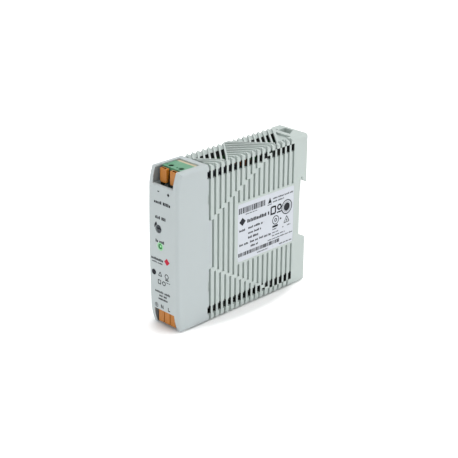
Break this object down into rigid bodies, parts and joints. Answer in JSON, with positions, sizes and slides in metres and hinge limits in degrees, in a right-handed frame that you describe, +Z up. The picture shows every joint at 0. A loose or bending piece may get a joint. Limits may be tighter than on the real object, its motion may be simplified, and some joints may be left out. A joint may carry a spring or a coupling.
{
  "type": "din rail power supply",
  "caption": "Slim one-module DIN rail power supply: ribbed vented housing with rail hook and latch, front cap with lever terminals, trimmer and status light.",
  "frame": {"origin": "middle of the footprint at the lower face", "axes": "+Z up, +Y towards the DIN rail, -Y out of the front panel, +X towards the label side"},
  "size_m": [0.0226, 0.1, 0.09],
  "materials": {
    "housing_plastic": "fine textured light grey moulding",
    "panel_plastic": "fine textured light grey moulding with pad printing",
    "label_film": "printed white film",
    "lever_orange": "satin orange moulding",
    "terminal_green": "satin green moulding",
    "terminal_grey": "satin dark grey moulding",
    "carrier_tan": "bare laminate, tan",
    "spring_steel": "rolled spring steel",
    "contact_brass": "tinned brass strip",
    "board_laminate": "green solder mask",
    "trimmer_blue": "moulded potentiometer case",
    "trimmer_slate": "dark slate moulding",
    "window_green": "clear green light window",
    "led_epoxy": "diffused green epoxy",
    "latch_plastic": "grey moulding",
    "ferrite": "ground ferrite",
    "bobbin_plastic": "black phenolic moulding",
    "tape_yellow": "yellow polyester tape over the winding",
    "copper_wire": "enamelled copper wire",
    "can_sleeve": "printed shrink sleeve",
    "film_yellow": "moulded film capacitor case",
    "disc_blue": "dipped ceramic disc",
    "disc_green": "dipped ceramic disc",
    "fuse_black": "moulded fuse case",
    "spreader_aluminium": "stamped aluminium",
    "package_black": "moulded epoxy package",
    "screw_steel": "zinc plated steel",
    "insulation_film": "thin insulating film"
  },
  "bodies": {
    "chassis": {"rear_housing": "housing_plastic", "front_cap": "panel_plastic", "rating_label": "label_film", "latch_spring": "spring_steel", "main_board": "board_laminate", "insulation_sheet": "insulation_film", "output_terminal_body": "terminal_green", "output_terminal_carrier": "carrier_tan", "output_clamp_springs": "spring_steel", "output_contact_bars": "contact_brass", "input_terminal_body": "terminal_grey", "input_clamp_springs": "spring_steel", "input_contact_bars": "contact_brass", "trimmer_body": "trimmer_blue", "trimmer_bracket": "board_laminate", "status_window": "window_green", "status_led": "led_epoxy", "input_capacitor": "can_sleeve", "output_capacitors": "can_sleeve", "transformer_core": "ferrite", "transformer_bobbin": "bobbin_plastic", "transformer_winding": "tape_yellow", "choke_core": "ferrite", "choke_windings": "copper_wire", "x_capacitor": "film_yellow", "y_capacitors": "disc_blue", "fuse": "fuse_black", "varistor": "disc_blue", "inrush_thermistor": "disc_green", "bridge_rectifier": "package_black", "primary_heat_spreader": "spreader_aluminium", "secondary_heat_spreader": "spreader_aluminium", "switching_transistor": "package_black", "output_diode": "package_black", "spreader_screws": "screw_steel", "output_inductor": "ferrite", "inductor_winding": "copper_wire", "optocoupler": "package_black", "controller_chip": "package_black"},
    "latch": {"rail_latch": "latch_plastic"},
    "lever_out_minus": {"output_lever_minus": "lever_orange"},
    "lever_out_plus": {"output_lever_plus": "lever_orange"},
    "lever_in_earth": {"input_lever_earth": "lever_orange"},
    "lever_in_neutral": {"input_lever_neutral": "lever_orange"},
    "lever_in_line": {"input_lever_line": "lever_orange"},
    "rotor": {"trimmer_rotor": "trimmer_slate"}
  },
  "joints": [
    {"name": "latch_slide", "type": "slide", "parent": "chassis", "child": "latch", "axis": [0, 0, 1], "range_m": [-0.003, 0], "stiffness_N_per_m": 700, "springref_m": 0.003, "deforming": ["latch_spring"]},
    {"name": "lever_out_minus_rock", "type": "hinge", "parent": "chassis", "child": "lever_out_minus", "pos_m": [-0.00381, -0.0426, 0.0815], "axis": [-1, 0, 0], "range_deg": [0, 5], "stiffness_Nm_per_rad": 0.06, "springref_deg": -5.16},
    {"name": "lever_out_plus_rock", "type": "hinge", "parent": "chassis", "child": "lever_out_plus", "pos_m": [0.00381, -0.0426, 0.0815], "axis": [-1, 0, 0], "range_deg": [0, 5], "stiffness_Nm_per_rad": 0.06, "springref_deg": -5.16},
    {"name": "lever_in_earth_rock", "type": "hinge", "parent": "chassis", "child": "lever_in_earth", "pos_m": [-0.0046, -0.0446, 0.0085], "axis": [1, 0, 0], "range_deg": [0, 6], "stiffness_Nm_per_rad": 0.06, "springref_deg": -5.16},
    {"name": "lever_in_neutral_rock", "type": "hinge", "parent": "chassis", "child": "lever_in_neutral", "pos_m": [0, -0.0446, 0.0085], "axis": [1, 0, 0], "range_deg": [0, 6], "stiffness_Nm_per_rad": 0.06, "springref_deg": -5.16},
    {"name": "lever_in_line_rock", "type": "hinge", "parent": "chassis", "child": "lever_in_line", "pos_m": [0.0046, -0.0446, 0.0085], "axis": [1, 0, 0], "range_deg": [0, 6], "stiffness_Nm_per_rad": 0.06, "springref_deg": -5.16},
    {"name": "trimmer_turn", "type": "hinge", "parent": "chassis", "child": "rotor", "pos_m": [-0.003, -0.0447, 0.0568], "axis": [0, -1, 0], "range_deg": [-130, 130]}
  ]
}
